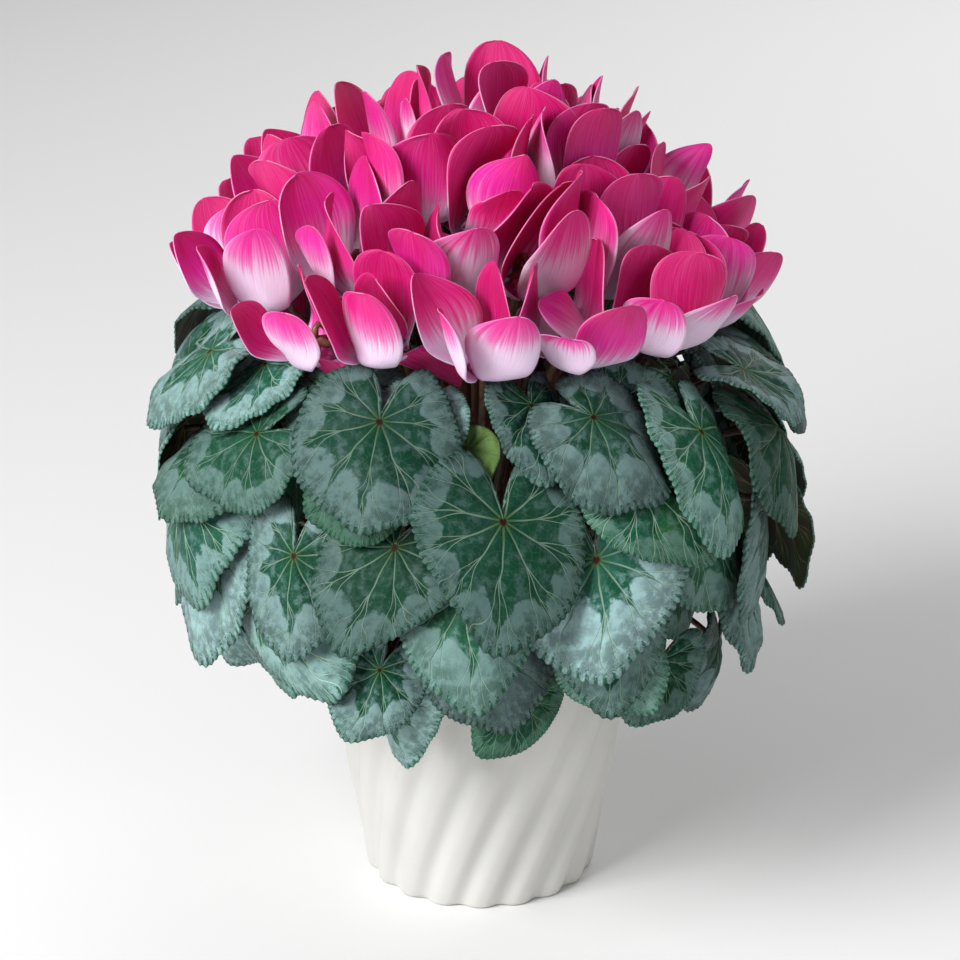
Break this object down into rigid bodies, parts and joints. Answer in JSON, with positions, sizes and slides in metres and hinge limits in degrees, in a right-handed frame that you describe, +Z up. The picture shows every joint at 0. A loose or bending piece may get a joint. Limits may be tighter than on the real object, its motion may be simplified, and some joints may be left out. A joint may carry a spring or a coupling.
{
  "type": "potted cyclamen",
  "caption": "Potted cyclamen in full bloom: a dome of heart-shaped silver-marbled leaves under upswept pink-and-white petals, in a spiral-fluted plastic pot.",
  "frame": {"origin": "centre of the pot's flat underside", "axes": "+Z up along the pot's axis; -Y towards the front of the plant; +X to the right as seen from the front"},
  "size_m": [0.3107, 0.3094, 0.3883],
  "materials": {
    "pot": "smooth satin off-white",
    "soil": "crumbly matt potting soil",
    "corm": "rough corky skin",
    "leaf": "satin dark green with silver-grey marbling and light veins",
    "petal": "soft satin hot pink that fades to white at the foot"
  },
  "bodies": {
    "root": {"bloom_01": "petal", "bloom_02": "petal", "bloom_03": "petal", "bloom_04": "petal", "bloom_05": "petal", "bloom_06": "petal", "bloom_07": "petal", "bloom_08": "petal", "bloom_09": "petal", "bloom_10": "petal", "bloom_11": "petal", "bloom_12": "petal", "bloom_13": "petal", "bloom_14": "petal", "bloom_15": "petal", "bloom_16": "petal", "bloom_17": "petal", "bloom_18": "petal", "bloom_19": "petal", "bloom_20": "petal", "bloom_21": "petal", "bloom_22": "petal", "bloom_23": "petal", "bloom_24": "petal", "bloom_25": "petal", "bloom_26": "petal", "bloom_27": "petal", "bloom_28": "petal", "bloom_29": "petal", "bloom_30": "petal", "bloom_31": "petal", "bloom_32": "petal", "bloom_33": "petal", "bloom_34": "petal", "bloom_35": "petal", "bloom_36": "petal", "corm": "corm", "leaf_bunch_01": "leaf", "leaf_bunch_02": "leaf", "leaf_bunch_03": "leaf", "leaf_bunch_04": "leaf", "leaf_bunch_05": "leaf", "leaf_bunch_06": "leaf", "leaf_bunch_07": "leaf", "leaf_bunch_08": "leaf", "leaf_bunch_09": "leaf", "leaf_bunch_10": "leaf", "leaf_bunch_11": "leaf", "leaf_bunch_12": "leaf", "leaf_bunch_13": "leaf", "leaf_bunch_14": "leaf", "leaf_bunch_15": "leaf", "leaf_bunch_16": "leaf", "pot": "pot", "soil": "soil"}
  },
  "joints": []
}
